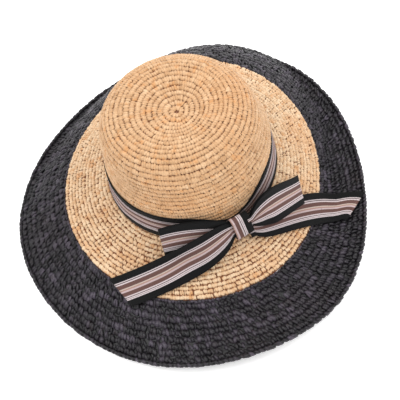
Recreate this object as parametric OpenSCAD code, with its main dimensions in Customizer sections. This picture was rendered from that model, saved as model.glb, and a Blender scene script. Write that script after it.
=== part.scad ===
// Wide-brimmed crochet raffia sun hat with a striped ribbon and a tied bow.
// The hat stands on a table at z = 0, with the crown's axis on +Z and the bow towards -Y.
// Lengths are millimetres and angles are degrees, and azimuths count from +X towards +Y.

/* [Crown] */
// Outer radius of the crown where it meets the brim
base_r = 88; // [84:0.5:92]
// Height of the crown's crest above the brim joint
crown_h = 102; // [95:1:110]
// Radius of the crest that rings the dented tip
crest_r = 47; // [40:1:52]
// Depth of the dent in the tip
dent = 6; // [0:0.5:9]
// Height of the side wall, up to the shoulder
side_h = 70; // [64:1:74]
// Outer radius at the shoulder
shoulder_r = 80.5; // [79:0.5:83]
// Swelling of the side wall above the ribbon
bulge = 1; // [0:0.5:3]
// Thickness of the crocheted raffia
fabric_t = 3; // [2.4:0.1:3.2]

/* [Brim] */
// Height of the brim joint above the table
joint_z = 64; // [60:1:70]
// Width of the natural part of the brim, along the fabric
natural_w = 62; // [55:1:66]
// Width of the dyed part of the brim, along the fabric
dyed_w = 63; // [58:1:68]
// Radius of the rolled edging
edging_r = 2.2; // [1.8:0.1:2.6]
// Mean droop next to the crown
droop_in = 27; // [22:1:32]
// How much steeper the front starts than the mean
droop_in_tilt = 20; // [0:1:22]
// Mean droop at the outer edge
droop_out = 35; // [30:1:38]
// How much steeper the back ends than the mean
droop_out_tilt = 25; // [0:1:26]
// Two-lobed fold of the outer edge
fold_two = 7; // [0:0.5:9]
// Three-lobed ripple of the outer edge
fold_three = 9; // [0:0.5:10]
// Four-lobed ripple of the outer edge
fold_four = 2.5; // [0:0.5:4]

/* [Ribbon] */
// Height of the ribbon around the crown
ribbon_w = 36; // [30:1:38]
// Thickness of the ribbon
ribbon_t = 0.9; // [0.7:0.1:1]
// Width of the knot along the bow
knot_w = 19; // [17:1:21]
// Direction of the knot
knot_az = 287.5; // [286:0.5:289]
// How far the ribbon's upper edge is drawn down at the knot
gather = 21; // [16:1:24]

/* [Lining] */
// Height of the sweatband
sweatband_h = 32; // [25:1:36]
// Thickness of the sweatband
sweatband_t = 1.2; // [0.8:0.1:1.4]
// Number of stitches that hold the sweatband
stitch_count = 60; // [40:2:72]

/* [Hidden] */
$fn = 96;
straw = [0.86, 0.70, 0.47];
charcoal = [0.17, 0.16, 0.18];
band_grey = [0.55, 0.45, 0.43];
cotton = [0.88, 0.85, 0.78];
clear = 0.3;                 // gap between pieces that only touch
seam = 0.1;                  // gap between pieces that are worked onto each other
rest_soft = 1.5;             // how gently the drooping brim flattens onto the table
degree = 180 / PI;
brim_w = natural_w + dyed_w;
brim_turns = 96;             // facets around the brim
brim_steps = 8;              // facets across each part of the brim
crest_steps = 8;
shoulder_steps = 10;
wall_steps = 14;

// ---- crown profile: [radius, height above the brim joint] ----
function crest_rz(u) = [crest_r * u, crown_h - dent * pow(1 - u * u, 2)];
function shoulder_rz(u) = [crest_r + (shoulder_r - crest_r) * sin(90 * u),
                           side_h + (crown_h - side_h) * cos(90 * u)];
function wall_r(z) = let (down = (side_h - z) / side_h)
    shoulder_r + (base_r - shoulder_r) * down + bulge * pow(sin(180 * pow(down, 0.82)), 2);
function wall_rz(u) = let (z = side_h * (1 - u)) [wall_r(z), z];
crown_outline = concat(
    [for (i = [0 : crest_steps - 1]) crest_rz(i / crest_steps)],
    [for (i = [0 : shoulder_steps - 1]) shoulder_rz(i / shoulder_steps)],
    [for (i = [0 : wall_steps]) wall_rz(i / wall_steps)]);
crown_last = len(crown_outline) - 1;
// The outline moved inwards by the fabric's thickness
function inward(i) = let (
        before = crown_outline[max(i - 1, 0)],
        after = crown_outline[min(i + 1, crown_last)],
        run = (after - before) / norm(after - before))
    i == 0 ? [0, crown_outline[0].y - fabric_t]
    : i == crown_last ? [base_r - fabric_t, 0]
    : crown_outline[i] + fabric_t * [run.y, -run.x];

// ---- brim surface ----
function wave(az, lobes, size, dir) = size * cos(lobes * (az - dir));
function slope_in(az) = droop_in + wave(az, 1, droop_in_tilt, 284) + wave(az, 2, 8, 344);
function slope_out(az) = droop_out + wave(az, 1, droop_out_tilt, 74) + wave(az, 2, fold_two, 352)
    + wave(az, 3, fold_three, 352) + wave(az, 4, fold_four, 41);
// Change of slope per millimetre of fabric, kept away from zero
function curl(az) = let (k = (slope_out(az) - slope_in(az)) / brim_w) abs(k) < 0.001 ? 0.001 : k;
function rest_on(z, low) = low + rest_soft * ln(1 + exp((z - low) / rest_soft));
function drop(az, slope) = (cos(slope_in(az)) - cos(slope)) * degree / curl(az);
// Top surface at s millimetres of fabric from the crown
function top_rz(az, s) = let (slope = slope_in(az) + curl(az) * s)
    [base_r + seam + (sin(slope) - sin(slope_in(az))) * degree / curl(az),
     rest_on(joint_z - seam - drop(az, slope), fabric_t)];
function under_rz(az, s) = let (
        run = top_rz(az, s + 0.5) - top_rz(az, s - 0.5),
        n = [-run.y, run.x] / norm(run))
    top_rz(az, s) - fabric_t * n;
// Height of the brim's top surface above the point [x, y]
function ground(x, y) = let (
        az = atan2(y, x),
        reach = max(norm([x, y]) - base_r, 0),
        slope = asin(min(1, sin(slope_in(az)) + reach * curl(az) / degree)))
    rest_on(joint_z - drop(az, slope), fabric_t);

function spin(az, rz) = [rz.x * cos(az), rz.x * sin(az), rz.y];
// Splits the quad a-b-c-d into two triangles
function two(a, b, c, d) = [[a, b, c], [a, c, d]];

// A closed ring swept once around the axis: sections[i] is the list of [radius, height] at turn i
module swept_ring(sections) {
    turns = len(sections);
    sides = len(sections[0]);
    points = [for (i = [0 : turns - 1]) for (p = sections[i]) spin(360 * i / turns, p)];
    faces = [for (i = [0 : turns - 1]) for (j = [0 : sides - 1])
        let (n = (i + 1) % turns, k = (j + 1) % sides)
        each two(i * sides + j, i * sides + k, n * sides + k, n * sides + j)];
    polyhedron(points, faces);
}

module brim_part(s_from, s_to) {
    step = (s_to - s_from) / brim_steps;
    swept_ring([for (i = [0 : brim_turns - 1]) let (az = 360 * i / brim_turns) concat(
        [for (j = [0 : brim_steps]) top_rz(az, s_from + step * j)],
        [for (j = [brim_steps : -1 : 0]) under_rz(az, s_from + step * j)])]);
}

// ---- ribbon pieces: strips between an upper and a lower edge ----
strip_steps = 14;
knot_half = knot_w / 2;
inner_gap = 0.8;             // between the knot's side and the root of the strips behind
outer_gap = 2;               // the same for the strips in front, which swing with those behind
// A point of the bow: rho from the crown's axis, tau along the bow, up above the brim joint
function bow_point(rho, tau, up) = [
    rho * cos(knot_az) - tau * sin(knot_az),
    rho * sin(knot_az) + tau * cos(knot_az),
    joint_z + up];
function lift(p) = [p.x, p.y, p.z - ground(p.x, p.y)];
function root(rho, tau, up) = lift(bow_point(rho, tau, up));
left_back = -knot_half - inner_gap;
left_front = -knot_half - outer_gap;
right_back = knot_half + inner_gap;
right_front = knot_half + outer_gap;
// Edges are cubic curves of [x, y, height above the brim]: the root by the knot, two handles, the tip
loop_left_top = [root(93, left_back, 26), [5, -95, 40], [-25, -85, 35], [-49, -82, 34]];
loop_left_low = [root(99, left_back, 5), [-10, -100, 10], [-25, -100, 10], [-50, -95, 8]];
tail_left_top = [root(96, left_front, 27), [-20, -105, 40], [-50, -100, 10], [-114, -88, 4]];
tail_left_low = [root(105, left_front, 4), [-5, -125, 5], [-60, -125, 2], [-98, -123, 4]];
tail_right_top = [root(96, right_back, 16), [65, -80, 5], [125, -30, 0], [168, -57, 4]];
tail_right_low = [root(108, right_back, -9), [60, -105, 5], [140, -70, 0], [139, -84, 4]];
loop_right_top = [root(99, right_front, 26), [50, -80, 50], [85, -60, 25], [100, -42, 10]];
loop_right_low = [root(105, right_front, 5), [55, -100, 20], [80, -85, 20], [98, -72, 14]];

function bezier(p, t) = pow(1 - t, 3) * p[0] + 3 * t * pow(1 - t, 2) * p[1]
    + 3 * t * t * (1 - t) * p[2] + pow(t, 3) * p[3];
function on_brim(p) = [p.x, p.y, ground(p.x, p.y) + p.z];
function edge(curve, t) = on_brim(bezier(curve, t));
function unit(v) = v / norm(v);
function middle(top, low, t) = (edge(top, t) + edge(low, t)) / 2;
function along(top, low, t) = let (dt = 0.02)
    unit(middle(top, low, min(t + dt, 1)) - middle(top, low, max(t - dt, 0)));
// Outward normal of a strip; side is 1 for strips that run left and -1 for strips that run right
function outward(top, low, t, side) =
    side * unit(cross(edge(top, t) - edge(low, t), along(top, low, t)));
// A station is [upper edge point, lower edge point, normal]
function station(top, low, t, side, back) = let (n = outward(top, low, t, side))
    [edge(top, t) - back * n, edge(low, t) - back * n, n];

// A thin solid along stations, closed at both ends
module strip(stations) {
    count = len(stations);
    half = ribbon_t / 2;
    points = [for (s = stations) each [s[0] + half * s[2], s[1] + half * s[2],
                                       s[1] - half * s[2], s[0] - half * s[2]]];
    sides = [for (i = [0 : count - 2]) for (j = [0 : 3]) let (k = (j + 1) % 4)
        each two(4 * i + j, 4 * i + k, 4 * i + 4 + k, 4 * i + 4 + j)];
    last = 4 * (count - 1);
    polyhedron(points, concat(sides, two(3, 2, 1, 0), two(last, last + 1, last + 2, last + 3)));
}

module tail(top, low, side) {
    strip(side_order([for (i = [0 : strip_steps]) station(top, low, i / strip_steps, side, 0)], side));
}

// Strips that run right are listed from the far end, so that their faces still turn outwards
function side_order(stations, side) = side > 0 ? stations
    : [for (i = [len(stations) - 1 : -1 : 0]) stations[i]];

// A loop: out along the front layer, round the fold and back along the rear layer.
// gap parts the two layers at the knot and at the fold, and open adds to it in between.
module loop(top, low, side, gap, open) {
    front = [for (i = [0 : strip_steps]) station(top, low, i / strip_steps, side, 0)];
    rear = [for (i = [strip_steps : -1 : 0]) let (t = i / strip_steps,
            s = station(top, low, t, side, gap + open * sin(180 * t)))
        [s[0], s[1], -s[2]]];
    tip = along(top, low, 1);
    half_back = station(top, low, 1, side, gap / 2);
    fold = [half_back[0] + tip * gap / 2, half_back[1] + tip * gap / 2, tip];
    strip(side_order(concat(front, [fold], rear), side));
}

// ---- sub-parts ----
module crown() {
    color(straw) translate([0, 0, joint_z]) rotate_extrude()
        polygon(concat(crown_outline, [for (i = [crown_last : -1 : 0]) inward(i)]));
}

module natural_brim() {
    color(straw) brim_part(0, natural_w);
}

module dyed_brim() {
    color(charcoal) brim_part(natural_w + seam, brim_w);
}

// Centre of the rolled edging: just past the brim's end, and no lower than the table allows
function edging_rz(az) = let (
        run = unit(top_rz(az, brim_w) - top_rz(az, brim_w - 1)),
        mid = (top_rz(az, brim_w) + under_rz(az, brim_w)) / 2,
        at = mid + (edging_r + clear) * run,
        lift = max(edging_r - at.y, 0))
    at + [lift, lift];
module brim_edging() {
    sides = 8;
    color(charcoal) swept_ring([for (i = [0 : brim_turns - 1]) [for (j = [0 : sides - 1])
        edging_rz(360 * i / brim_turns) + edging_r * [cos(-360 * j / sides), sin(-360 * j / sides)]]]);
}

band_foot = 1;                           // height of the sweatband's lower edge above the brim joint
band_lean = 0.3;                         // how far its top stands off the crown
// Outer radius of the sweatband at height z above the brim joint
function band_r(z) = wall_r(z) - fabric_t - clear - band_lean * (z - band_foot) / sweatband_h;
module sweatband() {
    steps = 6;
    heights = [for (i = [0 : steps]) band_foot + sweatband_h * i / steps];
    color(cotton) translate([0, 0, joint_z]) rotate_extrude() polygon(concat(
        [for (z = heights) [band_r(z), z]],
        [for (i = [steps : -1 : 0]) [band_r(heights[i]) - sweatband_t, heights[i]]]));
}

module sweatband_stitches() {
    thread_r = 0.5;
    stitch_l = 5;
    foot = 6;                            // height of the seam above the brim joint
    inner_r = band_r(foot) - sweatband_t - thread_r - clear / 2;
    color(cotton) for (i = [0 : stitch_count - 1]) rotate(360 * i / stitch_count)
        translate([inner_r, stitch_l / 2, joint_z + foot]) rotate([90, 0, 0])
            cylinder(r = thread_r, h = stitch_l, $fn = 16);
}

module size_label() {
    label_h = 16;
    label_t = 0.5;
    label_arc = 22;
    label_z = 10;
    label_r = band_r(label_z + label_h) - sweatband_t - seam - 0.1;
    color("white") rotate(90 - label_arc / 2) translate([0, 0, joint_z + label_z])
        rotate_extrude(angle = label_arc) translate([label_r - label_t, 0]) square([label_t, label_h]);
}

module hat_ribbon() {
    steps = 9;
    low = clear;
    notch_r = 35;                        // radius of the dip in the upper edge at the knot
    color(band_grey) translate([0, 0, joint_z + low]) difference() {
        rotate_extrude() polygon(concat(
            [for (i = [0 : steps]) let (z = ribbon_w * i / steps) [wall_r(z + low) + clear, z]],
            [for (i = [steps : -1 : 0]) let (z = ribbon_w * i / steps)
                [wall_r(z + low) + clear + ribbon_t, z]]));
        rotate(knot_az) translate([base_r / 2, 0, ribbon_w + notch_r - gather])
            rotate([0, 90, 0]) cylinder(r = notch_r, h = base_r);
    }
}

module bow_knot() {
    roll_r = 3.6;
    back_at = [92.2, 17];                // [distance from the axis, height above the brim joint]
    top_at = [96.8, 23];
    mid_at = [100.3, 14];
    low_at = [103, 5.5];
    color(band_grey) rotate(knot_az) translate([0, 0, joint_z])
        hull() for (at = [back_at, top_at, mid_at, low_at])
        translate([at.x, knot_half, at.y]) rotate([90, 0, 0])
        cylinder(r = roll_r, h = knot_w, $fn = 32);
}

module bow_loop_left() {
    color(band_grey) loop(loop_left_top, loop_left_low, 1, 1.6, 0.2);
}

module bow_loop_right() {
    color(band_grey) loop(loop_right_top, loop_right_low, -1, 1.8, 0.6);
}

module bow_tail_left() {
    color(band_grey) tail(tail_left_top, tail_left_low, 1);
}

module bow_tail_right() {
    color(band_grey) tail(tail_right_top, tail_right_low, -1);
}

crown();
natural_brim();
dyed_brim();
brim_edging();
sweatband();
sweatband_stitches();
size_label();
hat_ribbon();
bow_knot();
bow_loop_left();
bow_loop_right();
bow_tail_left();
bow_tail_right();
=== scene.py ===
import math

import bpy
import numpy as np
from mathutils import Matrix, Vector
from mathutils.bvhtree import BVHTree


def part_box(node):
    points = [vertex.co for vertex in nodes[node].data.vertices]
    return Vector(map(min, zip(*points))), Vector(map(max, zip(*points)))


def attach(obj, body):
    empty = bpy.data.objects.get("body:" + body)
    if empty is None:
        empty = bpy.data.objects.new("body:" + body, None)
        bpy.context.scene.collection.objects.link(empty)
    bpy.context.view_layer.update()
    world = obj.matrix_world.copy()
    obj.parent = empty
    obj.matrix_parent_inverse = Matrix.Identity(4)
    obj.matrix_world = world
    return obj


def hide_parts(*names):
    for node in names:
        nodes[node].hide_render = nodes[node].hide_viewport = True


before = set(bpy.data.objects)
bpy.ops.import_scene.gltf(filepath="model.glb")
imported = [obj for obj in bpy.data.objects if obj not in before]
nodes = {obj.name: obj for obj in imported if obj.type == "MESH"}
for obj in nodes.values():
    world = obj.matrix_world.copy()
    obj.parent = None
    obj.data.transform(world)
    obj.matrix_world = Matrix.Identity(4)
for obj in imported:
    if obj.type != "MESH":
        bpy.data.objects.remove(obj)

MM = 0.001
TURN = 2 * math.pi
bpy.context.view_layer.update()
rng = np.random.default_rng(11)


# ---------------------------------------------------------------- reading the CAD surfaces
def tree_of(*names):
    """A ray-casting tree over CAD nodes."""
    verts, faces = [], []
    for name in names:
        base = len(verts)
        mesh = nodes[name].data
        verts += [v.co.copy() for v in mesh.vertices]
        faces += [[base + i for i in p.vertices] for p in mesh.polygons]
    return BVHTree.FromPolygons(verts, faces)


def resample(points, count):
    """The polyline again with count points at even spacing, and its length."""
    step = np.linalg.norm(np.diff(points, axis=0), axis=1)
    along = np.concatenate([[0], np.cumsum(step)])
    at = np.linspace(0, along[-1], count)
    return np.stack([np.interp(at, along, points[:, k]) for k in range(3)], 1), along[-1]


def unit(v):
    return v / np.maximum(np.linalg.norm(v, axis=-1, keepdims=True), 1e-12)


def bell(x, centre, width):
    """1 at the centre, falling smoothly to 0 on both sides."""
    return np.exp(-((x - centre) / width) ** 2)


class Surface:
    """A fabric surface as a grid of points[around, out]: columns go round, rows run out from the crown.
    az is an azimuth in radians, v runs from 0 to 1 outwards, reach is the surface's length along v in metres."""

    def __init__(self, points, reach):
        self.points = points
        self.reach = reach
        self.around, self.out = points.shape[:2]
        turn = (np.roll(points, -1, 0) - np.roll(points, 1, 0)) * self.around / 2 / TURN
        run = np.gradient(points, axis=1)
        self.normals = unit(np.cross(run, turn))
        self.scale = np.linalg.norm(turn, axis=-1, keepdims=True)

    def mix(self, grid, az, v):
        a = az / TURN * self.around
        i0 = np.floor(a).astype(int)
        fa = (a - i0)[..., None]
        o = v * (self.out - 1)
        j0 = np.clip(np.floor(o).astype(int), 0, self.out - 2)
        fo = (o - j0)[..., None]
        i0, i1 = i0 % self.around, (i0 + 1) % self.around
        low = grid[i0, j0] * (1 - fa) + grid[i1, j0] * fa
        high = grid[i0, j0 + 1] * (1 - fa) + grid[i1, j0 + 1] * fa
        return low * (1 - fo) + high * fo

    def at(self, az, v, lift):
        return self.mix(self.points, az, v) + unit(self.mix(self.normals, az, v)) * lift[..., None]

    def row(self, v, width, phase):
        """Azimuths of stitches of about that width along row v, and their true width."""
        az = np.linspace(0, TURN, ROW_SAMPLES)
        points = self.mix(self.points, az, np.full(ROW_SAMPLES, v))
        along = np.concatenate([[0], np.cumsum(np.linalg.norm(np.diff(points, axis=0), axis=1))])
        count = max(5, round(along[-1] / width))
        at = (np.arange(count) + phase) / count % 1 * along[-1]
        return np.interp(at, along, az), along[-1] / count


AROUND = 288  # columns of a sampled surface
CROWN_ROWS, BRIM_ROWS = 200, 64
ROW_SAMPLES = 721
RAY_START = 0.3  # metres; further out than any surface
CROWN_WALL_R = 89 * MM
joint_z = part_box("crown")[0].z


def crown_surface():
    """The crown's outer face, from its tip to the brim joint: swollen over the ribbon, its crest pushed askew."""
    tree = tree_of("crown")
    centre = Vector((0, 0, joint_z + 45 * MM))
    tip_angle, joint_angle = math.radians(89.6), math.radians(-26.9)
    points = []
    for angle in np.linspace(tip_angle, joint_angle, 2 * CROWN_ROWS):
        d = Vector((math.cos(angle), 0, math.sin(angle)))
        hit = tree.ray_cast(centre + d * RAY_START, -d)[0]
        points.append((hit.x, 0, hit.z))
    profile, reach = resample(np.array(points), CROWN_ROWS)
    az = np.arange(AROUND) * TURN / AROUND
    height = profile[:, 2] - joint_z
    swelling, crest_shift, side_shift = 1.2 * MM, np.array([-3.0, 3.0, 0]), 1.0 * MM
    r = profile[:, 0] + swelling * bell(height, 45 * MM, 8 * MM)
    z = np.tile(profile[:, 2], (AROUND, 1))
    grid = np.stack([np.outer(np.cos(az), r), np.outer(np.sin(az), r), z], -1)
    crest = bell(np.linspace(0, 1, CROWN_ROWS), 0.38, 0.2)
    grid += crest[None, :, None] * crest_shift * MM
    grid[:, :, 0] += side_shift * bell(height[None, :], 46 * MM, 14 * MM)
    return Surface(grid, reach)


def brim_surface(name):
    """A brim part's upper face, from its inner to its outer end."""
    tree = tree_of(name)
    down = Vector((0, 0, -1))
    inside, spacing, least_rise = 85 * MM, 0.5 * MM, 0.05
    beyond = max(abs(c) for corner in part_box(name) for c in corner) * 1.05
    grid, lengths = [], []
    for i in range(AROUND):
        a = TURN * i / AROUND
        points = []
        for r in np.arange(inside, beyond, spacing):
            hit, normal = tree.ray_cast(Vector((r * math.cos(a), r * math.sin(a), RAY_START)), down)[:2]
            if hit is not None and normal.z > least_rise:
                points.append(tuple(hit))
        line, length = resample(np.array(points), BRIM_ROWS)
        grid.append(line)
        lengths.append(length)
    return Surface(np.array(grid), float(np.mean(lengths)))


crown = crown_surface()
natural = brim_surface("natural_brim")
dyed = brim_surface("dyed_brim")
brim_tree = tree_of("natural_brim", "dyed_brim")


def ground(x, y):
    """Height of the brim's upper face: the brim joint's inside the crown's wall, and 3 mm past the edge."""
    if math.hypot(x, y) < CROWN_WALL_R:
        return joint_z
    hit = brim_tree.ray_cast(Vector((x, y, RAY_START)), Vector((0, 0, -1)))[0]
    return hit.z if hit is not None else 3 * MM


# ---------------------------------------------------------------- mesh helpers
STRAND_FLOOR, SHELL_FLOOR = 0.1 * MM, 0.2 * MM  # strands and shells stay this far above the floor


def mesh_object(name, verts, faces, material, values=None, vectors=None):
    """A smooth-shaded object with one material. values and vectors hold point attributes for the materials."""
    mesh = bpy.data.meshes.new(name)
    mesh.from_pydata(np.asarray(verts, float).reshape(-1, 3).tolist(), [], faces)
    for kind, field, attributes in (("FLOAT", "value", values), ("FLOAT_VECTOR", "vector", vectors)):
        for key, data in (attributes or {}).items():
            attribute = mesh.attributes.new(key, kind, "POINT")
            attribute.data.foreach_set(field, np.asarray(data, np.float32).ravel())
    mesh.polygons.foreach_set("use_smooth", np.ones(len(mesh.polygons), bool))
    mesh.materials.append(material)
    obj = bpy.data.objects.new(name, mesh)
    bpy.context.scene.collection.objects.link(obj)
    return obj


def tube_faces(count, rings, sides):
    """Faces of count tubes with closed ends, each with rings * sides vertices in order."""
    faces = []
    ring = np.arange(rings - 1)[:, None] * sides
    k = np.arange(sides)[None, :]
    m = (k + 1) % sides
    quad = np.stack([ring + k, ring + m, ring + sides + m, ring + sides + k], -1).reshape(-1, 4)
    for i in range(count):
        base = i * rings * sides
        faces += (quad + base).tolist()
        faces.append(list(range(base + sides - 1, base - 1, -1)))
        end = base + (rings - 1) * sides
        faces.append(list(range(end, end + sides)))
    return faces


def torus_faces(turns, sides):
    """Faces of a tube that closes on itself, with turns * sides vertices in order."""
    i, k = np.meshgrid(np.arange(turns), np.arange(sides), indexing="ij")
    n, m = (i + 1) % turns, (k + 1) % sides
    return np.stack([i * sides + k, i * sides + m, n * sides + m, n * sides + k], -1).reshape(-1, 4)


def yarn(along, angle, seed):
    """The weave attribute of a strand: mm along it, and a place round it that differs from strand to strand."""
    return np.stack([along, np.cos(angle) * 2 + seed, np.sin(angle) * 2], -1)


def strand_points(surface, s, rings, sides):
    """Vertices of strands that lie on a surface, and their mm along, angle round and a shade share from 0 where the
    strand sinks low to 1 at its top, which the materials turn into painted shade. s holds an array for each of: az and
    v at both ends, half width w, half height h, lift of the centre line, arch of the middle, sink of the ends, deep
    (the sink that sets the painted shade's range), sideways bow, taper (the ends' share of the width)."""
    t = np.linspace(0, 1, rings)[None, :]
    hump = np.sin(math.pi * t)
    col = {k: np.asarray(a, float)[:, None] for k, a in s.items()}
    az = col["az0"] + (col["az1"] - col["az0"]) * t
    v = col["v0"] + (col["v1"] - col["v0"]) * t
    scale = surface.mix(surface.scale, az, v)[..., 0]
    run_u = (col["az1"] - col["az0"]) * scale
    run_v = (col["v1"] - col["v0"]) * surface.reach
    size = np.sqrt(run_u ** 2 + run_v ** 2) + 1e-9
    across_u, across_v = run_v / size, -run_u / size
    az = az + col["bow"] * hump * across_u / scale
    v = v + col["bow"] * hump * across_v / surface.reach
    width = col["w"] * (col["taper"] + (1 - col["taper"]) * hump ** 0.6)
    height = col["h"] * (0.5 + 0.5 * hump ** 0.5)
    lift = col["lift"] + col["arch"] * hump - col["sink"] * (1 - hump) ** 2
    angle = np.arange(sides) * TURN / sides + TURN / 4
    c, n = np.cos(angle)[None, None, :], np.sin(angle)[None, None, :]
    az3 = az[..., None] + width[..., None] * c * across_u[..., None] / scale[..., None]
    v3 = v[..., None] + width[..., None] * c * across_v[..., None] / surface.reach
    lift3 = lift[..., None] + height[..., None] * n
    points = surface.at(az3, v3, lift3)
    points[..., 2] = np.maximum(points[..., 2], STRAND_FLOOR)
    shape = points.shape[:3]
    along = np.broadcast_to((t * size)[..., None] / MM, shape)
    round_it = np.broadcast_to(angle[None, None, :], shape)
    # painted shade: each strand is darker the lower it sinks below its centre line, at its ends and on its underside
    bottom = (col["lift"] - 1.1 * col["deep"])[..., None]
    painted_shade_depth = np.clip((lift3 - bottom) / (1.1 * col["deep"] + col["arch"])[..., None], 0, 1)
    return points, along, round_it, painted_shade_depth


SEED_STEP = 3.7  # difference of the weave's seed from strand to strand
STRAND_RINGS, STRAND_SIDES = 5, 5


def strand_object(name, surface, s, material, tone):
    """All the strands s as one object, with a tone from 0 to 1 for each."""
    points, along, round_it, painted_shade_depth = strand_points(surface, s, STRAND_RINGS, STRAND_SIDES)
    count = points.shape[0]
    shape = points.shape[:3]
    seed = np.broadcast_to((np.arange(count) * SEED_STEP)[:, None, None], shape)
    tones = np.broadcast_to(np.asarray(tone)[:, None, None], shape)
    return mesh_object(name, points, tube_faces(count, STRAND_RINGS, STRAND_SIDES), material,
                       {"tone": tones, "painted_shade_depth": painted_shade_depth}, {"weave": yarn(along, round_it, seed)})


SHELL_OUTER, SHELL_INNER, SHELL_RELIEF = -1.5 * MM, 2.4 * MM, 0.9 * MM


def shell_object(name, surface, v_range, steps, turns, material, row_w, stitch_w):
    """A closed shell along a surface: a smooth outer face, painted all in the dark shade colour so that it shows as
    painted shade through the gaps between stitches, and an inner face with the rows' backs in relief, with painted
    shade in its grooves.
    """
    az, v = np.meshgrid(np.arange(turns) * TURN / turns, np.linspace(*v_range, steps), indexing="ij")
    rows = v * surface.reach / row_w
    stitches = az * surface.mix(surface.scale, az, v)[..., 0] / stitch_w
    ridge = np.abs(np.sin(math.pi * rows)) ** 0.6
    knot = 0.72 + 0.28 * np.cos(TURN * (np.round(stitches.mean(0))[None, :] * az / TURN + 0.5 * np.floor(rows)))
    top = surface.at(az, v, np.full(az.shape, SHELL_OUTER))
    under = surface.at(az, v, -SHELL_INNER - SHELL_RELIEF * (ridge * knot - 0.5))
    ring = np.concatenate([top, under[:, ::-1]], 1)
    ring[..., 2] = np.maximum(ring[..., 2], SHELL_FLOOR)
    i, k = np.indices(ring.shape[:2])
    # painted shade: share 0 on the whole outer face and in the inner face's grooves gives the dark gap colour
    painted_shade_depth = np.concatenate([np.zeros_like(ridge), (ridge * knot)[:, ::-1]], 1)
    tone = np.broadcast_to(0.5 + 0.25 * np.sin(i * 0.7 + k * 1.3), painted_shade_depth.shape)
    weave = np.stack([i * 1.7, k * 0.9, painted_shade_depth], -1)
    return mesh_object(name, ring, torus_faces(*ring.shape[:2]).tolist(), material,
                       {"tone": tone, "painted_shade_depth": painted_shade_depth}, {"weave": weave})


# ---------------------------------------------------------------- materials
class Nodes:
    """A short way to write a material's node tree: each method adds a node and gives its output socket."""

    def __init__(self, name):
        self.material = bpy.data.materials.new(name)
        self.material.use_nodes = True
        self.tree = self.material.node_tree
        self.shader = self.tree.nodes["Principled BSDF"]

    def add(self, kind, links=None, **values):
        node = self.tree.nodes.new(kind)
        for key, value in values.items():
            setattr(node, key, value)
        for key, value in (links or {}).items():
            socket = node.inputs[key]
            if isinstance(value, bpy.types.NodeSocket):
                self.tree.links.new(value, socket)
            else:
                socket.default_value = value
        return node

    def attribute(self, name, output="Fac"):
        return self.add("ShaderNodeAttribute", attribute_name=name).outputs[output]

    def ramp(self, value, stops, interpolation="LINEAR"):
        node = self.add("ShaderNodeValToRGB", {"Fac": value})
        ramp = node.color_ramp
        ramp.interpolation = interpolation
        while len(ramp.elements) > 1:
            ramp.elements.remove(ramp.elements[-1])
        ramp.elements[0].position, ramp.elements[0].color = stops[0][0], (*stops[0][1], 1)
        for place, colour in stops[1:]:
            ramp.elements.new(place).color = (*colour, 1)
        return node.outputs["Color"]

    def mix(self, factor, a, b):
        node = self.add("ShaderNodeMix", data_type="RGBA", blend_type="MIX")
        for key, value in ((0, factor), (6, a), (7, b)):
            if isinstance(value, bpy.types.NodeSocket):
                self.tree.links.new(value, node.inputs[key])
            else:
                node.inputs[key].default_value = value if key == 0 else (*value, 1)
        return node.outputs[2]

    def math(self, operation, a, b=0.5, c=None):
        node = self.add("ShaderNodeMath", operation=operation)
        for key, value in ((0, a), (1, b), (2, c)):
            if isinstance(value, bpy.types.NodeSocket):
                self.tree.links.new(value, node.inputs[key])
            elif value is not None:
                node.inputs[key].default_value = value
        return node.outputs[0]

    def remap(self, value, low, high, to_low=0.0, to_high=1.0):
        return self.add("ShaderNodeMapRange", {"Value": value, "From Min": low, "From Max": high,
                                               "To Min": to_low, "To Max": to_high}).outputs["Result"]

    def noise(self, vector, scale, detail=3.0, rough=0.55):
        return self.add("ShaderNodeTexNoise", {"Vector": vector, "Scale": scale, "Detail": detail,
                                               "Roughness": rough}).outputs["Fac"]

    def place(self):
        return self.add("ShaderNodeTexCoord").outputs["Object"]

    def stretch(self, vector, scale):
        return self.add("ShaderNodeVectorMath", {0: vector, 1: scale}, operation="MULTIPLY").outputs["Vector"]

    def finish(self, colour, bump, distance, strength, rough):
        normal = self.add("ShaderNodeBump", {"Height": bump, "Distance": distance, "Strength": strength})
        for key, value in (("Base Color", colour), ("Normal", normal.outputs["Normal"]), ("Roughness", rough)):
            if isinstance(value, bpy.types.NodeSocket):
                self.tree.links.new(value, self.shader.inputs[key])
            else:
                self.shader.inputs[key].default_value = value
        return self.material


def raffia(name, tones, patch, gap, patch_share, sheen, specular, rough_range):
    """Split palm-leaf yarn: fine fibres along each strand, uneven colour with patches, and painted shade: gap is the
    dark colour painted into the gaps, onto the strands' sunk ends and onto the cores' outer faces.
    """
    n = Nodes(name)
    fibre = n.stretch(n.attribute("weave", "Vector"), (0.25, 2.6, 2.6))
    streak = n.noise(fibre, 1.6, 4.0, 0.65)
    blotch = n.noise(n.place(), 120.0, 2.0, 0.5)
    slow = n.noise(n.place(), 16.0, 2.0, 0.5)
    tone = n.math("ADD", n.attribute("tone"), n.math("MULTIPLY", n.math("SUBTRACT", streak, 0.5), 0.9))
    base = n.ramp(tone, tones)
    base = n.mix(n.math("MULTIPLY", n.remap(blotch, 0.58, 0.70), patch_share), base, patch)
    base = n.mix(n.math("MULTIPLY", n.remap(slow, 0.5, 0.7), patch_share * 0.5), base, patch)
    # painted shade: blends to the dark gap colour where the strands sink low and where the cores show
    shade = n.remap(n.attribute("painted_shade_depth"), 0.05, 0.50)
    base = n.mix(shade, gap, base)
    n.shader.inputs["Sheen Weight"].default_value = sheen
    n.shader.inputs["Specular IOR Level"].default_value = specular
    return n.finish(base, streak, 0.0006, 0.55, n.remap(streak, 0.3, 0.7, *rough_range))


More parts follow.
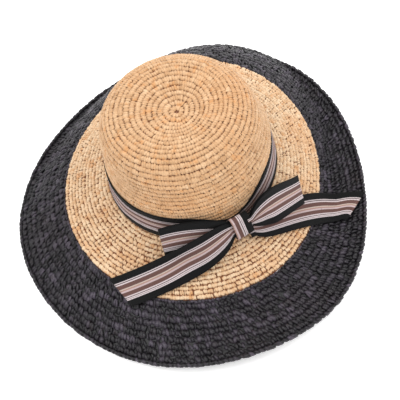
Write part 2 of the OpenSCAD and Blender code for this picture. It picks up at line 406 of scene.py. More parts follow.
STRAW = [(0.0, (0.42, 0.220, 0.095)), (0.3, (0.59, 0.352, 0.183)), (0.6, (0.70, 0.455, 0.260)),
         (1.0, (0.80, 0.60, 0.400))]
# the fourth colour of each raffia is its painted shade colour, for gaps, sunk strand ends and the cores' outer faces
straw = raffia("natural_raffia", STRAW, (0.64, 0.30, 0.105), (0.18, 0.060, 0.018), 0.62, 0.1, 0.3, (0.45, 0.65))
COAL = [(0.0, (0.005, 0.0041, 0.0058)), (0.5, (0.0165, 0.0135, 0.0185)), (1.0, (0.064, 0.052, 0.071))]
coal = raffia("dyed_raffia", COAL, (0.030, 0.019, 0.023), (0.0015, 0.0012, 0.0016), 0.35, 0.0, 0.42, (0.24, 0.46))


def ribbon_material(name):
    """Grosgrain: fine ribs across the ribbon, stripes along it. 'across' runs 0..1 over the width, 'weave' is in mm."""
    n = Nodes(name)
    rib_mm, shadow = 1.25, (0.0, 0.0, 0.0)
    black, brown, white = (0.0065, 0.0065, 0.007), (0.172, 0.090, 0.078), (0.80, 0.69, 0.70)
    cream, pink, tan = (0.70, 0.57, 0.49), (0.68, 0.53, 0.53), (0.50, 0.31, 0.26)
    dots = (0.12, 0.085, 0.085)
    stripe_starts = [
        (0.0, black), (0.205, white), (0.234, dots), (0.260, white), (0.298, brown), (0.425, cream), (0.457, tan),
        (0.496, pink), (0.545, brown), (0.664, white), (0.696, dots), (0.722, white), (0.752, dots), (0.762, white),
        (0.796, black)]
    stripes = n.ramp(n.attribute("across"), stripe_starts, "CONSTANT")
    weave = n.attribute("weave", "Vector")
    parts = n.add("ShaderNodeSeparateXYZ", {"Vector": weave})
    ribs = n.math("SINE", n.math("MULTIPLY", parts.outputs["X"], TURN / rib_mm))
    cloth = n.noise(n.stretch(weave, (3.0, 0.8, 1.0)), 1.4, 3.0, 0.6)
    height = n.math("MULTIPLY_ADD", ribs, 0.5, cloth)
    lit = n.mix(n.remap(ribs, -1.0, 1.0, 0.0, 0.40), stripes, shadow)
    lit = n.mix(n.remap(cloth, 0.3, 0.7, 0.0, 0.22), lit, shadow)
    n.shader.inputs["Sheen Weight"].default_value = 0.03
    n.shader.inputs["Specular IOR Level"].default_value = 0.12
    return n.finish(lit, height, 0.0003, 0.5, n.remap(cloth, 0.3, 0.7, 0.6, 0.8))


grosgrain = ribbon_material("grosgrain")


def cotton_material(name, light, dark, pitch):
    """Plain woven tape or thread, with pitch mm from yarn to yarn."""
    n = Nodes(name)
    weave = n.attribute("weave", "Vector")
    parts = n.add("ShaderNodeSeparateXYZ", {"Vector": weave})
    warp = n.math("SINE", n.math("MULTIPLY", parts.outputs["X"], TURN / pitch))
    weft = n.math("SINE", n.math("MULTIPLY", parts.outputs["Y"], TURN / pitch))
    cross = n.math("MULTIPLY", warp, weft)
    slub = n.noise(n.stretch(weave, (0.15, 1.5, 1.0)), 1.0, 3.0, 0.6)
    colour = n.mix(n.remap(slub, 0.3, 0.7), dark, light)
    colour = n.mix(n.remap(cross, -1.0, 1.0, 0.0, 0.18), colour, (0.2, 0.17, 0.12))
    n.shader.inputs["Sheen Weight"].default_value = 0.2
    return n.finish(colour, n.math("ADD", cross, slub), 0.0002, 0.5, 0.8)


tape = cotton_material("sweatband_cotton", (0.74, 0.69, 0.58), (0.60, 0.54, 0.43), 0.9)
thread = cotton_material("sewing_thread", (0.66, 0.60, 0.49), (0.48, 0.42, 0.33), 0.5)
satin = cotton_material("label_cloth", (0.82, 0.81, 0.77), (0.70, 0.69, 0.66), 0.6)


# ---------------------------------------------------------------- crochet
def stitch_rows(surface, v_range, row_w, stitch_w, leg, style):
    """Two legs per stitch, in rows of about row_w; returns the strands' arrays and a tone for each. leg is a leg's
    half width and half height. A style holds, in half stitches: foot and head, how far out a leg starts and ends,
    and slant, how far both legs lean; in rows: under and over, how far it starts below its row and reaches over it;
    in metres: lift, arch, sink and bow, as in strand_points; shares: shallow, the legs that barely sink, taper and
    wave, the rows' waviness; and the unevenness of each."""
    span = (v_range[1] - v_range[0]) * surface.reach
    rows = round(span / row_w)
    out = {k: [] for k in ("az0", "az1", "v0", "v1", "w", "h", "lift", "arch", "sink", "deep", "bow", "taper")}
    tones = []
    jitter, tone_jitter = style["jitter"], style["tone_jitter"]
    share = 1 + rng.normal(0, style["row_jitter"], rows)
    bounds = v_range[0] + (v_range[1] - v_range[0]) * np.concatenate([[0], np.cumsum(share / share.sum())])
    for row in range(rows):
        step = bounds[row + 1] - bounds[row]
        mid = bounds[row] + step * 0.5
        az, size = surface.row(mid, stitch_w, 0.5 * (row % 2) + 0.13 * row)
        count = len(az)
        wave = np.sin(3 * az + 0.25 * row) + 0.7 * np.sin(7 * az - 0.3 * row)
        v_in = np.maximum(bounds[row] + step * style["wave"] * wave * (v_range[1] - bounds[row]) * (row > 0), 0)
        half = size / 2 / surface.mix(surface.scale, az, np.full(count, mid))[..., 0]
        wobble = rng.normal(0, 1, (count, 6))
        tone_row = style["tone"] + rng.normal(0, tone_jitter * 0.4)
        stitch_tone = tone_row + wobble[:, 0] * tone_jitter
        for side in (-1, 1):
            jig = rng.normal(0, 1, (count, 6))
            shallow = rng.random(count) < style["shallow"]
            foot = side * style["foot"] - style["slant"]
            head = side * style["head"] + style["slant"]
            out["az0"].append(az + half * (foot + jig[:, 0] * jitter))
            out["az1"].append(az + half * (head + jig[:, 1] * jitter))
            out["v0"].append(v_in - step * style["under"] + jig[:, 2] * step * jitter * 0.4)
            out["v1"].append(v_in + step * style["over"] + jig[:, 3] * step * jitter * 0.4)
            out["w"].append(leg[0] * (1 + jig[:, 4] * jitter) * size / stitch_w)
            out["h"].append(leg[1] * (1 + jig[:, 5] * jitter * 0.7))
            out["lift"].append(np.full(count, style["lift"]) + wobble[:, 1] * style["lift_jitter"])
            out["arch"].append(np.full(count, style["arch"]))
            out["sink"].append(style["sink"] * np.where(shallow, 0.3, 1.15))
            out["deep"].append(np.full(count, style["sink"]))
            out["taper"].append(np.full(count, style["taper"]))
            out["bow"].append(side * style["bow"] * np.ones(count))
            tones.append(stitch_tone + jig[:, 0] * tone_jitter * 0.5)
    return {k: np.concatenate(a) for k, a in out.items()}, np.clip(np.concatenate(tones), 0, 1)


CROWN_ROW, CROWN_STITCH = 5.5 * MM, 5.2 * MM
NATURAL_ROW, NATURAL_STITCH, NATURAL_BACK_STITCH = 4.6 * MM, 4.9 * MM, 5.0 * MM
DYED_ROW, DYED_STITCH = 6.6 * MM, 6.8 * MM
DYED_BACK_ROW, DYED_BACK_STITCH = 7.4 * MM, 7.2 * MM

fine = {"foot": 0.40, "head": 0.50, "slant": 0.16, "under": 0.08, "over": 1.0, "lift": -0.75 * MM, "arch": 0.15 * MM,
        "sink": 1.05 * MM, "shallow": 0.45, "bow": 0.10 * MM, "taper": 0.46, "wave": 0.14, "tone": 0.39,
        "tone_jitter": 0.08, "jitter": 0.14, "lift_jitter": 0.07 * MM, "row_jitter": 0.05}
tip_hole, top_share = 0.012, 0.42
hide_below = 1 - (11 * MM) / crown.reach
for name, v_range in (("crown_stitches_top", (tip_hole, top_share)),
                      ("crown_stitches_side", (top_share, hide_below))):
    strands, tone = stitch_rows(crown, v_range, CROWN_ROW, CROWN_STITCH, (2.05 * MM, 0.85 * MM), fine)
    piece = strand_object(name, crown, strands, straw, tone)
    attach(piece, "hat")
crown_core = shell_object("crown_core", crown, (0, 1), 130, 330, straw, CROWN_ROW, CROWN_STITCH)
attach(crown_core, "hat")
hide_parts("crown")

scale_like = dict(fine, foot=0.30, head=0.42, slant=0.34, under=0.14, over=1.0, lift=-1.0 * MM, arch=0.45 * MM,
                  sink=1.85 * MM, shallow=0.0, bow=0.25 * MM, taper=0.16, wave=0.12, tone=0.80, tone_jitter=0.13,
                  jitter=0.22)
strands, tone = stitch_rows(natural, (0.0, 1.006), NATURAL_ROW, NATURAL_STITCH, (1.75 * MM, 1.2 * MM), scale_like)
natural_stitches = strand_object("natural_brim_stitches", natural, strands, straw, tone)
natural_core = shell_object("natural_brim_core", natural, (-0.014, 1.012), 56, 420, straw, NATURAL_ROW,
                            NATURAL_BACK_STITCH)
for piece in (natural_stitches, natural_core):
    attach(piece, "hat")
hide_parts("natural_brim")

chunky = {"foot": 0.15, "head": 0.70, "slant": 0.55, "under": 0.14, "over": 1.00, "lift": -0.9 * MM, "arch": 0.5 * MM,
          "sink": 1.4 * MM, "shallow": 0.15, "bow": 0.30 * MM, "taper": 0.58, "wave": 0.12, "tone": 0.45,
          "tone_jitter": 0.24, "jitter": 0.26, "lift_jitter": 0.35 * MM, "row_jitter": 0.06}
strands, tone = stitch_rows(dyed, (-0.012, 1.012), DYED_ROW, DYED_STITCH, (2.0 * MM, 1.0 * MM), chunky)
dyed_stitches = strand_object("dyed_brim_stitches", dyed, strands, coal, tone)
dyed_core = shell_object("dyed_brim_core", dyed, (-0.014, 1.01), 44, 500, coal, DYED_BACK_ROW, DYED_BACK_STITCH)
for piece in (dyed_stitches, dyed_core):
    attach(piece, "hat")
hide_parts("dyed_brim")


# ---------------------------------------------------------------- rolled edging
EDGE_R = 2.2 * MM


def edge_frame(az):
    """Centre of the edging, its outward and its upward direction, at azimuths az."""
    ones = np.ones(len(az))
    mid = dyed.at(az, ones, -1.5 * MM * ones)
    out = unit(dyed.mix(dyed.points, az, ones) - dyed.mix(dyed.points, az, ones - 0.02))
    up = unit(dyed.mix(dyed.normals, az, ones))
    centre = mid + out * 2.0 * MM
    centre[:, 2] = np.maximum(centre[:, 2], EDGE_R * 1.05)
    return centre, out, up


def edge_core(turns, sides, radius):
    """The edging's smooth core, as a grid of points and its faces."""
    centre, out, up = edge_frame(np.arange(turns) * TURN / turns)
    angle = np.arange(sides) * TURN / sides
    outward, upward = out[:, None] * np.cos(angle)[None, :, None], up[:, None] * np.sin(angle)[None, :, None]
    core = centre[:, None] + radius * (outward + upward)
    core[..., 2] = np.maximum(core[..., 2], SHELL_FLOOR)
    return core, torus_faces(turns, sides)[:, [0, 3, 2, 1]].tolist()


def edge_wraps(count, rings, sides, reach, half_w, half_h):
    """Strands wound over the core: their points, the share of the way along each, and the angles round it."""
    start = np.arange(count) * TURN / count + rng.normal(0, 0.004, count)
    t = np.linspace(0, 1, rings)[None, :]
    sweep = math.radians(150) - t * math.radians(330)
    lean = 1.5 * TURN / count
    az_line = start[:, None] + lean * t
    shape = (count, rings, 3)
    centre, out, up = (grid.reshape(shape) for grid in edge_frame(az_line.ravel()))
    radial = out * np.cos(sweep)[..., None] + up * np.sin(sweep)[..., None]
    fat = (1 + rng.normal(0, 0.16, count))[:, None]
    mid = centre + radial * reach
    run = unit(np.gradient(mid, axis=1))
    side = unit(np.cross(run, radial))
    angle = np.arange(sides) * TURN / sides + TURN / 4
    taper = 0.55 + 0.45 * np.sin(math.pi * t) ** 0.5
    w = (half_w * fat * taper)[..., None, None]
    h = (half_h * fat * taper)[..., None, None]
    points = mid[:, :, None] + side[:, :, None] * w * np.cos(angle)[None, None, :, None] \
        + radial[:, :, None] * h * np.sin(angle)[None, None, :, None]
    points[..., 2] = np.maximum(points[..., 2], STRAND_FLOOR)
    return points, t, angle


def edging():
    """A cord round the edge with strands wound over it, as in the last round of crochet."""
    core, core_faces = edge_core(720, 8, 1.65 * MM)
    count, rings, sides = 250, 8, 5
    points, t, angle = edge_wraps(count, rings, sides, 1.7 * MM, 2.0 * MM, 1.0 * MM)
    shape = points.shape[:3]
    base = core.shape[0] * core.shape[1]
    faces = core_faces + [[base + i for i in f] for f in tube_faces(count, rings, sides)]
    verts = np.concatenate([core.reshape(-1, 3), points.reshape(-1, 3)])
    seed = np.broadcast_to(np.arange(count)[:, None, None] * SEED_STEP, shape)
    along = np.broadcast_to(t[..., None] * 12, shape)
    round_it = np.broadcast_to(angle[None, None], shape)
    weave = np.concatenate([np.zeros((base, 3)), yarn(along, round_it, seed).reshape(-1, 3)])
    wrap_tone = np.clip(rng.normal(0.45, 0.2, count), 0, 1)[:, None, None]
    tone = np.concatenate([np.full(base, 0.2), np.broadcast_to(wrap_tone, shape).ravel()])
    # painted shade: the cord's core is all in the dark gap colour where it shows between the wraps, and each wrap
    # darkens towards the side that lies on the core
    painted_shade_depth = np.concatenate([np.zeros(base), (0.5 + 0.5 * np.sin(round_it)).ravel()])
    return mesh_object("brim_edging_cord", verts, faces, coal, {"tone": tone, "painted_shade_depth": painted_shade_depth}, {"weave": weave})


edge_piece = edging()
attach(edge_piece, "hat")
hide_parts("brim_edging")


# ---------------------------------------------------------------- ribbon
RIBBON_MM = 36  # width of the ribbon
RIBBON_THICK = 0.6 * MM


def sheet_object(name, mid, normal, thick, across, along_mm, width_mm, material, closed=False):
    """A cloth strip from a grid mid[along, across] with its normals, as a closed thin solid. across is the share of
    the width at each point, along_mm the mm from the strip's start, and closed joins the last row to the first."""
    rows, cols = mid.shape[:2]
    front, back = mid + normal * thick / 2, mid - normal * thick / 2
    verts = np.concatenate([front.reshape(-1, 3), back.reshape(-1, 3)])
    total = rows * cols
    faces = []
    last = rows if closed else rows - 1
    for i in range(last):
        n = (i + 1) % rows
        for j in range(cols - 1):
            a, b, c, d = i * cols + j, i * cols + j + 1, n * cols + j + 1, n * cols + j
            faces.append([a, b, c, d])
            faces.append([total + d, total + c, total + b, total + a])
        for j, flip in ((0, False), (cols - 1, True)):
            quad = [i * cols + j, n * cols + j, total + n * cols + j, total + i * cols + j]
            faces.append(quad[::-1] if flip else quad)
    if not closed:
        for i, flip in ((0, True), (rows - 1, False)):
            for j in range(cols - 1):
                quad = [i * cols + j, i * cols + j + 1, total + i * cols + j + 1, total + i * cols + j]
                faces.append(quad[::-1] if flip else quad)
    v = np.broadcast_to(across, (rows, cols))
    weave = np.stack([np.broadcast_to(along_mm[:, None], (rows, cols)), v * width_mm, np.zeros((rows, cols))], -1)
    return mesh_object(name, verts, faces, material, {"across": np.concatenate([v, v])},
                       {"weave": np.concatenate([weave, weave + [0, 0, 1.0]])})


def bezier(p, t):
    """Points at t of the cubic curve with the four points p."""
    p = np.array(p, float)
    t = t[:, None]
    return (1 - t) ** 3 * p[0] + 3 * t * (1 - t) ** 2 * p[1] + 3 * t * t * (1 - t) * p[2] + t ** 3 * p[3]


def length_mm(line):
    """Distance along a line of points from its start, in mm."""
    return np.concatenate([[0], np.cumsum(np.linalg.norm(np.diff(line, axis=0), axis=1))]) / MM


KNOT_AZ = math.radians(287.5)
knot_out = np.array([math.cos(KNOT_AZ), math.sin(KNOT_AZ), 0])
knot_side = np.array([-math.sin(KNOT_AZ), math.cos(KNOT_AZ), 0])
KNOT_HALF = 9.5  # half the knot's width in mm


def bow_point(rho, tau, up):
    """rho from the crown's axis, tau along the bow, up above the brim joint, in mm; the result is in metres."""
    p = (knot_out * rho + knot_side * tau) * MM
    return np.array([p[0], p[1], joint_z + up * MM])


def on_brim(rows):
    """Points [x, y, height above the brim] in mm, as points in metres."""
    return np.array([[x * MM, y * MM, ground(x * MM, y * MM) + h * MM] for x, y, h in rows])


def lifted(p):
    """The reverse of on_brim, for one point."""
    return [p[0] / MM, p[1] / MM, (p[2] - ground(p[0], p[1])) / MM]


def edge_curve(root, others, t):
    """One edge of a bow strip: a curve over the brim from its root beside the knot."""
    return on_brim(bezier([lifted(root), *others], t))


# Each bow strip, as in part.scad: its upper edge and its lower edge, both as a root (rho, tau, up) and three points
# [x, y, height above the brim] in mm, and the side of the knot it lies on.
BACK, FRONT = 10.3, 11.5  # tau of the roots of the rear and the front strips
STRIPS = {
    "bow_loop_left": ((93, -BACK, 26), [(5, -95, 40), (-25, -85, 35), (-49, -82, 34)],
                      (99, -BACK, 5), [(-10, -100, 10), (-25, -100, 10), (-50, -95, 8)], -1),
    "bow_tail_left": ((96, -FRONT, 27), [(-20, -105, 40), (-50, -100, 10), (-114, -88, 4)],
                      (105, -FRONT, 4), [(-5, -125, 5), (-60, -125, 2), (-98, -123, 4)], -1),
    "bow_tail_right": ((96, BACK, 16), [(65, -80, 5), (125, -30, 0), (168, -57, 4)],
                       (108, BACK, -9), [(60, -105, 5), (140, -70, 0), (139, -84, 4)], 1),
    "bow_loop_right": ((99, FRONT, 26), [(50, -80, 50), (85, -60, 25), (100, -42, 10)],
                       (105, FRONT, 5), [(55, -100, 20), (80, -85, 20), (98, -72, 14)], 1),
}
ROWS, COLS = 60, 27
TUCKED = 3  # rows of a strip that are tucked under the knot
TUCK_STEP = 1.6  # mm from one tucked row to the next


def strip_grid(key):
    """Grid [along, across] of a bow strip's middle surface, the mm along it and its side of the knot."""
    top_root, top_rest, low_root, low_rest, side = STRIPS[key]
    t = np.linspace(0, 1, ROWS - TUCKED)
    top = edge_curve(bow_point(*top_root), top_rest, t)
    low = edge_curve(bow_point(*low_root), low_rest, t)
    v = np.linspace(0, 1, COLS)[None, :, None]
    grid = top[:, None] * (1 - v) + low[:, None] * v
    inward = (knot_side * -side)[None, None, :] * np.arange(TUCKED, 0, -1)[:, None, None] * TUCK_STEP * MM
    grid = np.concatenate([grid[:1] + inward, grid])
    return grid, length_mm(grid[:, COLS // 2]), side


def normals_of(grid, side):
    """Normals of a strip's grid, pointing away from the brim."""
    run = np.gradient(grid, axis=0)
    wide = np.gradient(grid, axis=1)
    return unit(np.cross(wide, run)) * (-side)


def pinch(grid, along, keep, over):
    """Draws the strip together at the knot: keep is the share of the width left there, over is a length in mm."""
    near = np.exp(-(along / over) ** 1.5)[:, None, None]
    centre = grid.mean(1, keepdims=True)
    squeezed = centre + (grid - centre) * keep
    return grid * (1 - near) + squeezed * near


def pleats(grid, along, side, size, over, count, phase):
    """Ripples across the width, size mm high, that fade over that many mm away from the knot."""
    v = np.linspace(0, 1, grid.shape[1])[None, :]
    fade = np.exp(-along / over)[:, None]
    wave = np.sin(TURN * count * v + phase) * fade * size * MM
    return grid + normals_of(grid, side) * wave[..., None]


def tail_piece(key, keep, over, ripple, phase, curl, buckle, place):
    """A tail of the bow: gathered at the knot, arched by curl mm at its tip, with a buckle at a share of its length."""
    grid, along, side = strip_grid(key)
    grid = pinch(grid, along, keep, over)
    grid = pleats(grid, along, side, ripple, 14, 2.5, phase)
    t = np.linspace(0, 1, ROWS)[:, None, None]
    v = np.linspace(0, 1, COLS)[None, :, None]
    n = normals_of(grid, side)
    hump = buckle * bell(t, place, 0.13) * np.sin(math.pi * v)
    grid = grid + n * MM * (curl * np.sin(math.pi * v) * t + hump)
    grid = grid + n * MM * 0.35 * np.sin(9 * t + 2 * v) * np.minimum(1, 4 * t)
    n = normals_of(grid, side)
    across = np.linspace(0, 1, COLS)[None, :]
    return sheet_object(key + "_cloth", grid, n, RIBBON_THICK, across, along, RIBBON_MM, grosgrain), along[-1]


def nudge(grid, along, side, size, until):
    """Pushes the lower half of the strip out by size mm next to the knot, up to a soft crease at until mm."""
    v = np.linspace(0, 1, grid.shape[1])[None, :]
    amount = size * MM * np.clip((v - 0.25) / 0.5, 0, 1) / (1 + np.exp((along[:, None] - until) / 1.6))
    return grid + normals_of(grid, side) * amount[..., None]


def loop_piece(key, keep, ripple, phase, gap, open_by, slide, push):
    """Front layer, a rounded fold and the rear layer, as one strip. The layers are gap mm apart and open_by more in
    the middle, and slide turns the upper edge in at the knot."""
    grid, along, side = strip_grid(key)
    grid = pinch(grid, along, keep, 14)
    grid = pleats(grid, along, side, ripple, 16, 2.0, phase)
    grid = nudge(grid, along, side, push, 27)
    n = normals_of(grid, side)
    t = np.linspace(0, 1, ROWS)[:, None, None]
    rear = grid - n * MM * (gap + open_by * np.sin(math.pi * t))
    tip = unit(grid[-1] - grid[-3])
    turns = np.linspace(0, math.pi, 9)[1:-1]
    half = (grid[-1] - rear[-1]) / 2
    centre = (grid[-1] + rear[-1]) / 2
    thick = np.linalg.norm(half, axis=-1, keepdims=True)
    bend = [centre + half * math.cos(a) + tip * thick * math.sin(a) for a in turns]
    whole = np.concatenate([grid, np.array(bend), rear[::-1]])
    normal = normals_of(whole, side)
    length = length_mm(whole[:, COLS // 2])
    from_knot = np.minimum(length, length[-1] - length) / length[ROWS - 1]
    across = np.linspace(0, 1, COLS)[None, :] - slide * bell(from_knot, 0, 0.5)[:, None]
    return sheet_object(key + "_cloth", whole, normal, RIBBON_THICK, across, length, RIBBON_MM, grosgrain), length[-1]


bow = {
    "bow_tail_left": tail_piece("bow_tail_left", keep=0.66, over=8, ripple=1.0, phase=0.6, curl=0.8, buckle=4.5,
                                place=0.52),
    "bow_tail_right": tail_piece("bow_tail_right", keep=0.78, over=10, ripple=0.8, phase=1.5, curl=0.6, buckle=2.0,
                                 place=0.55),
    "bow_loop_left": loop_piece("bow_loop_left", keep=0.72, ripple=0.8, phase=2.2, gap=1.5, open_by=0.3, slide=0.12,
                                push=0.0),
    "bow_loop_right": loop_piece("bow_loop_right", keep=0.72, ripple=0.7, phase=0.4, gap=1.8, open_by=0.8, slide=0.0,
                                 push=2.2),
}
for key, (piece, length) in bow.items():
    body = key[len("bow_"):]
    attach(piece, body)
    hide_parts(key)


def knot_outline():
    """The knot's cross-section, as points (rho, up) in mm round three roots, and its outward direction."""
    centres = np.array([[96.8, 23.0], [100.3, 14.0], [103.0, 5.5]])
    top, low, radius = centres[0], centres[2], 3.75
    run = unit(low - top)
    outward = np.array([-run[1], run[0]])
    if outward[0] < 0:
        outward = -outward
    turns, shares = np.linspace(0, math.pi, 12), np.linspace(0.06, 0.94, 14)
    low_cap = [low + radius * (outward * math.cos(a) + run * math.sin(a)) for a in turns]
    top_cap = [top + radius * (-outward * math.cos(a) - run * math.sin(a)) for a in turns]
    front = [top + outward * radius + (low - top) * s for s in shares]
    back = [low - outward * radius + (top - low) * s for s in shares]
    return np.array(front + low_cap + back + top_cap), outward


def knot_piece():
    """A wrap of ribbon round the roots of the loops and tails."""
    outline, outward = knot_outline()
    rows, cols = len(outline), 25
    centre = outline.mean(0)
    grid = np.zeros((rows, cols, 3))
    for j, x in enumerate(np.linspace(-1, 1, cols)):
        flare = 1 + 0.04 * x ** 4
        crease = 0.35 * math.cos(TURN * 1.5 * x + 0.6)
        ring = centre + (outline - centre) * flare
        s = np.arange(rows) / rows
        ring = ring + outward * (0.45 * (1 - x * x) + crease * np.sin(math.pi * s * 2 + 0.3))[:, None] * 0.7
        for i, (rho, up) in enumerate(ring):
            lean = 0.8 * math.sin(TURN * i / rows)
            grid[i, j] = bow_point(rho, x * KNOT_HALF + lean * 0.4, up)
    turn = np.roll(grid, -1, 0) - np.roll(grid, 1, 0)
    wide = np.gradient(grid, axis=1)
    normal = unit(np.cross(turn, wide))
    away = grid - grid.mean((0, 1))
    if (normal * away).sum() < 0:
        normal = -normal
    length = length_mm(grid[:, cols // 2])
    across = np.linspace(0.465, 1.0, cols)[None, :]
    piece = sheet_object("bow_knot_cloth", grid, normal, 0.7 * MM, across, length, RIBBON_MM, grosgrain, closed=True)
    return piece, length[-1]


knot, knot_length = knot_piece()
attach(knot, "hat")
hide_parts("bow_knot")


def wall_radii(name, heights):
    """Outer radius of a CAD node at each height, on the side towards +X."""
    tree = tree_of(name)
    outside = 0.2
    return np.array([tree.ray_cast(Vector((outside, 0, z)), Vector((-1, 0, 0)))[0].x for z in heights])


def level_normals(a, v):
    """Normals that point away from the crown's axis, for a grid of azimuths a and shares v."""
    return unit(np.stack([np.cos(a) + 0 * v, np.sin(a) + 0 * v, 0 * a + 0 * v], -1))


def crown_ribbon():
    """The ribbon round the crown: slightly uneven, and gathered and drawn down behind the knot."""
    low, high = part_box("hat_ribbon")
    cols, rows = 21, 360
    heights = np.linspace(high.z - 0.2 * MM, low.z + 0.2 * MM, cols)
    radius = wall_radii("hat_ribbon", heights)
    az = np.arange(rows) * TURN / rows
    a, v = az[:, None], np.linspace(0, 1, cols)[None, :]
    sway = 0.25 * MM * (np.sin(7 * a + 3 * v) + 0.6 * np.sin(17 * a + 5 * v)) * np.sin(math.pi * v)
    off = np.degrees((a - KNOT_AZ + math.pi) % TURN - math.pi) + 2
    gather = bell(off, 0, np.where(off > 0, 24, 17))
    z = heights[None, :] + 0.5 * MM * np.sin(3 * a + 1) * v - 20 * MM * gather * (1 - v) + 3 * MM * gather * v
    r = np.interp(z, heights[::-1], radius[::-1]) - 0.35 * MM + np.maximum(sway, -0.1 * MM)
    r = r + 0.35 * MM * gather * np.sin(20 * v + 1) * np.sin(math.pi * v)
    grid = np.stack([r * np.cos(a), r * np.sin(a), z], -1)
    along = az * float(radius.mean()) / MM
    piece = sheet_object("hat_ribbon_cloth", grid, level_normals(a, v), RIBBON_THICK, v, along, RIBBON_MM, grosgrain,
                         closed=True)
    return piece, TURN * float(radius.mean())


ribbon, ribbon_length = crown_ribbon()
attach(ribbon, "hat")
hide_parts("hat_ribbon")


# ---------------------------------------------------------------- lining
def band_piece():
    """The sweatband: a cotton tape with slight waves along its upper edge."""
    low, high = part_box("sweatband")
    outer, width = high.x, float(high.z - low.z)
    cols, rows = 13, 360
    heights = np.linspace(low.z + 0.1 * MM, high.z - 0.1 * MM, cols)
    wall = wall_radii("sweatband", heights)
    az = np.arange(rows) * TURN / rows
    a, v = az[:, None], np.linspace(0, 1, cols)[None, :]
    r = wall[None, :] - 0.6 * MM - 0.3 * MM * (1 + np.sin(11 * a) * 0.6 + 0.4 * np.sin(23 * a)) * v ** 2
    z = np.broadcast_to(heights[None, :], r.shape) + 0.4 * MM * np.sin(5 * a) * v
    grid = np.stack([r * np.cos(a), r * np.sin(a), z], -1)
    along = az * outer / MM
    piece = sheet_object("sweatband_tape", grid, level_normals(a, v), 1.0 * MM, v, along, width / MM, tape, closed=True)
    return piece, outer, width


band, band_r, band_w = band_piece()
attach(band, "hat")
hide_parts("sweatband")


def thread_piece():
    """The sweatband's seam: short stitches that dip into the tape at both ends."""
    low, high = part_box("sweatband_stitches")
    seam_z = (low.z + high.z) / 2
    r = high.x - 0.45 * MM
    count, rings, sides = 60, 7, 6
    half_length, radius = 2.4 * MM, 0.38 * MM
    t = np.linspace(-1, 1, rings)[None, :]
    a = np.arange(count)[:, None] * TURN / count + t * half_length / r
    rr = r + 0.55 * MM * np.abs(t) ** 3 - 0.05 * MM
    z = seam_z + 0.25 * MM * np.sin(np.arange(count)[:, None] * 2.1) + 0 * a
    mid = np.stack([rr * np.cos(a), rr * np.sin(a), z], -1)
    out = np.stack([np.cos(a), np.sin(a), 0 * a], -1)
    up = np.zeros_like(out)
    up[..., 2] = 1
    k = np.arange(sides) * TURN / sides
    outward, upward = out[:, :, None] * np.cos(k)[None, None, :, None], up[:, :, None] * np.sin(k)[None, None, :, None]
    points = mid[:, :, None] + radius * (outward + upward)
    shape = points.shape[:3]
    weave = np.stack([np.broadcast_to(t[..., None] * 2.5, shape), np.broadcast_to(k[None, None] / 2, shape),
                      np.zeros(shape)], -1)
    return mesh_object("sweatband_thread", points, tube_faces(count, rings, sides), thread, vectors={"weave": weave})


threads = thread_piece()
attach(threads, "hat")
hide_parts("sweatband_stitches")


def label_piece():
    """A blank label, its free edge standing off a little."""
    low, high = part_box("size_label")
    r = high.y - 0.35 * MM
    half = math.asin(high.x / r)
    rows, cols = 25, 13
    a = (math.pi / 2 + np.linspace(-half, half, rows))[:, None]
    v = np.linspace(0, 1, cols)[None, :]
    rr = r - 0.9 * MM * v ** 3 - 0.15 * MM * np.sin(3 * v + 9 * a)
    grid = np.stack([rr * np.cos(a), rr * np.sin(a), low.z + (high.z - low.z) * v + 0 * a], -1)
    along = (a[:, 0] - a[0, 0]) * r / MM
    width = float(high.z - low.z)
    piece = sheet_object("size_label_cloth", grid, level_normals(a, v), 0.35 * MM, v, along, width / MM, satin)
    return piece, width, 2 * half * r


label, label_w, label_l = label_piece()
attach(label, "hat")
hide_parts("size_label")


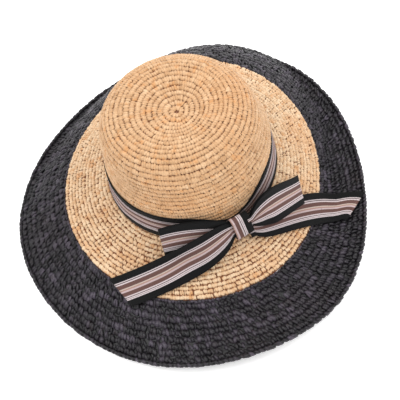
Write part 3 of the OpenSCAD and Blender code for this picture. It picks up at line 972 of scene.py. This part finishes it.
# ---------------------------------------------------------------- stage, light and camera
def pale(name, colour, glow):
    """Bright paper, lit a little from behind."""
    n = Nodes(name)
    grain = n.noise(n.place(), 3.0, 2.0)
    n.shader.inputs["Emission Color"].default_value = (1, 1, 1, 1)
    n.shader.inputs["Emission Strength"].default_value = glow
    return n.finish(n.mix(n.remap(grain, 0.3, 0.7, 0.0, 0.02), colour, (0.9, 0.9, 0.9)), grain, 0.0001, 0.02, 0.9)


FLOOR_HALF = 6.0
corners = [(x * FLOOR_HALF, y * FLOOR_HALF, 0) for x, y in ((-1, -1), (1, -1), (1, 1), (-1, 1))]
floor = mesh_object("floor", corners, [[0, 1, 2, 3]], pale("floor_paper", (0.98, 0.98, 0.98), 0.4))

scene = bpy.context.scene
scene.view_settings.view_transform = "Standard"
world = bpy.data.worlds.new("studio")
world.use_nodes = True
background = world.node_tree.nodes["Background"]
background.inputs["Color"].default_value = (1, 1, 1, 1)
background.inputs["Strength"].default_value = 0.62
scene.world = world


def softbox(name, where, aim, width, energy):
    """A square area light that faces aim."""
    light = bpy.data.lights.new(name, "AREA")
    light.shape = "SQUARE"
    light.size = width
    light.energy = energy
    obj = bpy.data.objects.new(name, light)
    scene.collection.objects.link(obj)
    obj.location = where
    obj.rotation_mode = "QUATERNION"
    obj.rotation_quaternion = (Vector(aim) - Vector(where)).to_track_quat("-Z", "Y")


target = (0, 0, joint_z)
softbox("key", (-0.85, -0.05, 1.75), target, 1.4, 21)
softbox("fill", (1.1, -0.5, 1.5), target, 1.2, 17)
softbox("back", (0.2, 1.3, 1.3), target, 1.0, 10)

ELEVATION = math.radians(58.05)
ROLL = math.radians(-16.12)
back = np.array([0, -math.cos(ELEVATION), math.sin(ELEVATION)])
level = np.array([1.0, 0, 0])
rise = np.cross(back, level)
right = level * math.cos(ROLL) + rise * math.sin(ROLL)
up = np.cross(back, right)
camera = bpy.data.objects.new("camera", bpy.data.cameras.new("camera"))
scene.collection.objects.link(camera)
turn = Matrix((right.tolist(), up.tolist(), back.tolist())).transposed().to_4x4()
camera.matrix_world = Matrix.Translation((-2.2 * MM, -626.0 * MM, 995.7 * MM)) @ turn
camera.data.sensor_width = 36
camera.data.lens = 96.8
camera.data.clip_start = 0.05
scene.camera = camera
